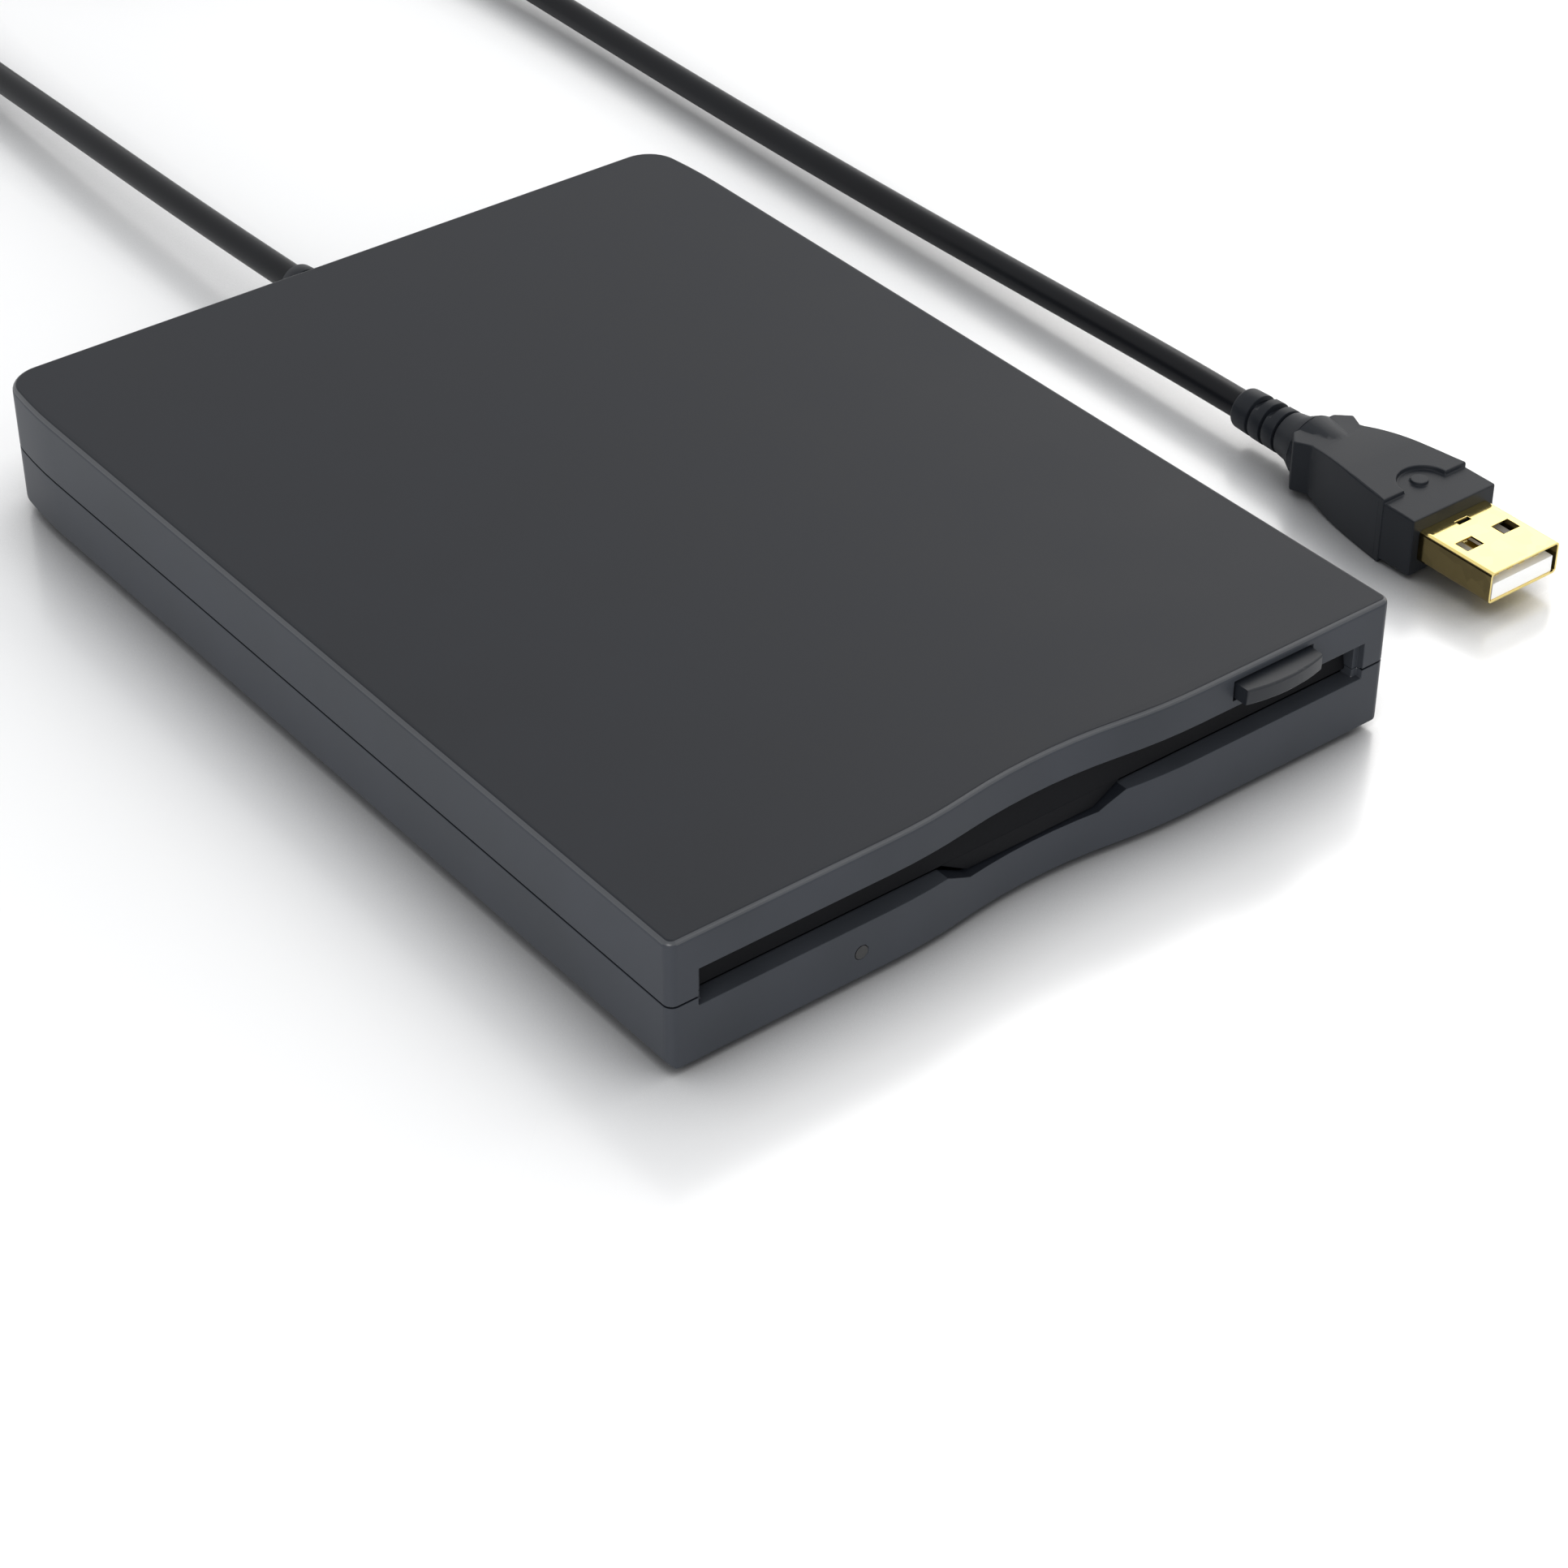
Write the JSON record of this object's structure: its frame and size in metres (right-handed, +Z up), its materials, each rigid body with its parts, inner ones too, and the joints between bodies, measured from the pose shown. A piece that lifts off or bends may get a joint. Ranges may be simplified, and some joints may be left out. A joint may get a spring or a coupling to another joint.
{
  "type": "external floppy disk drive",
  "caption": "Slim external floppy disk drive with a wavy front, a sprung slot door, an eject button, a sheet metal loading mechanism and a captive USB cord with its plug.",
  "frame": {"origin": "under the middle of the drive, on the surface that its feet stand on", "axes": "+X to the right seen from the front, -Y out of the disk slot, +Z up"},
  "size_m": [0.1431, 0.3312, 0.018],
  "materials": {
    "case_plastic": "fine matt black moulding",
    "rubber": "matt",
    "screw_steel": "plated",
    "window_plastic": "smoked window",
    "led_body": "clear",
    "door_plastic": "grained",
    "spring_steel": "bright wire",
    "button_plastic": "fine matt",
    "zinc_steel": "zinc plated sheet",
    "copper": "enamelled wire",
    "bronze": "sintered bronze",
    "carriage_plastic": "natural moulding",
    "ceramic": "polished ceramic",
    "black_plastic": "black package",
    "circuit_board": "green solder mask",
    "connector_plastic": "white nylon",
    "cord_plastic": "satin black PVC",
    "tie_plastic": "black wire tie",
    "gold_plate": "gold plated",
    "insulator_plastic": "white moulding"
  },
  "bodies": {
    "case": {"bottom_shell": "case_plastic", "bridge_chip": "black_plastic", "case_screws": "screw_steel", "chassis": "zinc_steel", "chassis_cover": "zinc_steel", "chassis_screws": "screw_steel", "cord_coil": "cord_plastic", "cord_header": "connector_plastic", "cord_leads": "copper", "cord_tie": "tie_plastic", "crystal": "screw_steel", "disk_seat_pins": "screw_steel", "door_spring": "spring_steel", "drive_board": "circuit_board", "drive_chips": "black_plastic", "drive_cord": "cord_plastic", "guide_rods": "screw_steel", "lamp_led": "led_body", "lamp_window": "window_plastic", "lever_post": "screw_steel", "lever_spring": "spring_steel", "plug_boot": "cord_plastic", "plug_contacts": "gold_plate", "plug_cord": "cord_plastic", "plug_insulator": "insulator_plastic", "plug_overmould": "cord_plastic", "plug_shell": "gold_plate", "rear_strain_relief": "cord_plastic", "ribbon_cable": "connector_plastic", "ribbon_plugs": "connector_plastic", "rubber_feet": "rubber", "slider_springs": "spring_steel", "spindle_bearing": "bronze", "spindle_stator": "copper", "stepper_motor": "zinc_steel", "switch_housings": "black_plastic", "top_shell": "case_plastic", "track_zero_sensor": "black_plastic", "usb_board": "circuit_board"},
    "door": {"front_door": "door_plastic"},
    "ejector": {"eject_button": "button_plastic", "eject_slider": "zinc_steel"},
    "carrier": {"disk_carrier": "zinc_steel", "carrier_pins": "screw_steel"},
    "spindle": {"spindle_rotor": "zinc_steel", "spindle_hub": "screw_steel"},
    "carriage": {"head_carriage": "carriage_plastic", "lower_head": "ceramic"},
    "upper_arm": {"upper_head_arm": "carriage_plastic", "upper_head": "ceramic", "gimbal_spring": "spring_steel"},
    "screw": {"lead_screw": "screw_steel"},
    "lever": {"shutter_lever": "zinc_steel"},
    "write_protect_key": {"write_protect_plunger": "carriage_plastic"},
    "density_key": {"density_plunger": "carriage_plastic"},
    "disk_in_key": {"disk_in_plunger": "carriage_plastic"}
  },
  "joints": [
    {"name": "door_hinge", "type": "hinge", "parent": "case", "child": "door", "pos_m": [0, -0.06645, 0.0139], "axis": [1, 0, 0], "range_deg": [0, 98], "stiffness_Nm_per_rad": 0.0006, "springref_deg": -28.65, "deforming": ["door_spring"]},
    {"name": "eject_slide", "type": "slide", "parent": "case", "child": "ejector", "axis": [0, -1, 0], "range_m": [0, 0.004], "deforming": ["slider_springs"]},
    {"name": "carrier_lift", "type": "slide", "parent": "case", "child": "carrier", "axis": [0, 0, 1], "range_m": [-0.002, 0]},
    {"name": "carriage_slide", "type": "slide", "parent": "case", "child": "carriage", "axis": [0, -1, 0], "range_m": [0, 0.0148]},
    {"name": "head_arm_pivot", "type": "hinge", "parent": "carriage", "child": "upper_arm", "pos_m": [0, 0.052, 0.011], "axis": [1, 0, 0], "range_deg": [0, 7.22]},
    {"name": "lead_screw_turn", "type": "hinge", "parent": "case", "child": "screw", "pos_m": [0.02, 0.035, 0.0097], "axis": [0, 1, 0], "range_deg": [0, 1421]},
    {"name": "spindle_turn", "type": "hinge", "parent": "case", "child": "spindle", "pos_m": [0, -0.017, 0.0061], "axis": [0, 0, 1], "continuous": true},
    {"name": "shutter_lever_turn", "type": "hinge", "parent": "case", "child": "lever", "pos_m": [-0.04, 0.0335, 0.014], "axis": [0, 0, 1], "range_deg": [0, 60], "stiffness_Nm_per_rad": 0.002, "springref_deg": -17.19, "deforming": ["lever_spring"]},
    {"name": "write_protect_press", "type": "slide", "parent": "case", "child": "write_protect_key", "axis": [0, 0, -1], "range_m": [0, 0.0015], "stiffness_N_per_m": 200, "springref_m": -0.0006},
    {"name": "density_press", "type": "slide", "parent": "case", "child": "density_key", "axis": [0, 0, -1], "range_m": [0, 0.0015], "stiffness_N_per_m": 200, "springref_m": -0.0006},
    {"name": "disk_in_press", "type": "slide", "parent": "case", "child": "disk_in_key", "axis": [0, 0, -1], "range_m": [0, 0.0015], "stiffness_N_per_m": 200, "springref_m": -0.0006}
  ],
  "couplings": [
    {"joint": "carrier_lift", "follows": "eject_slide", "ratio": -0.5},
    {"joint": "head_arm_pivot", "follows": "eject_slide", "rad_per_m": 31.439},
    {"joint": "lead_screw_turn", "follows": "carriage_slide", "rad_per_m": 1675.5}
  ]
}
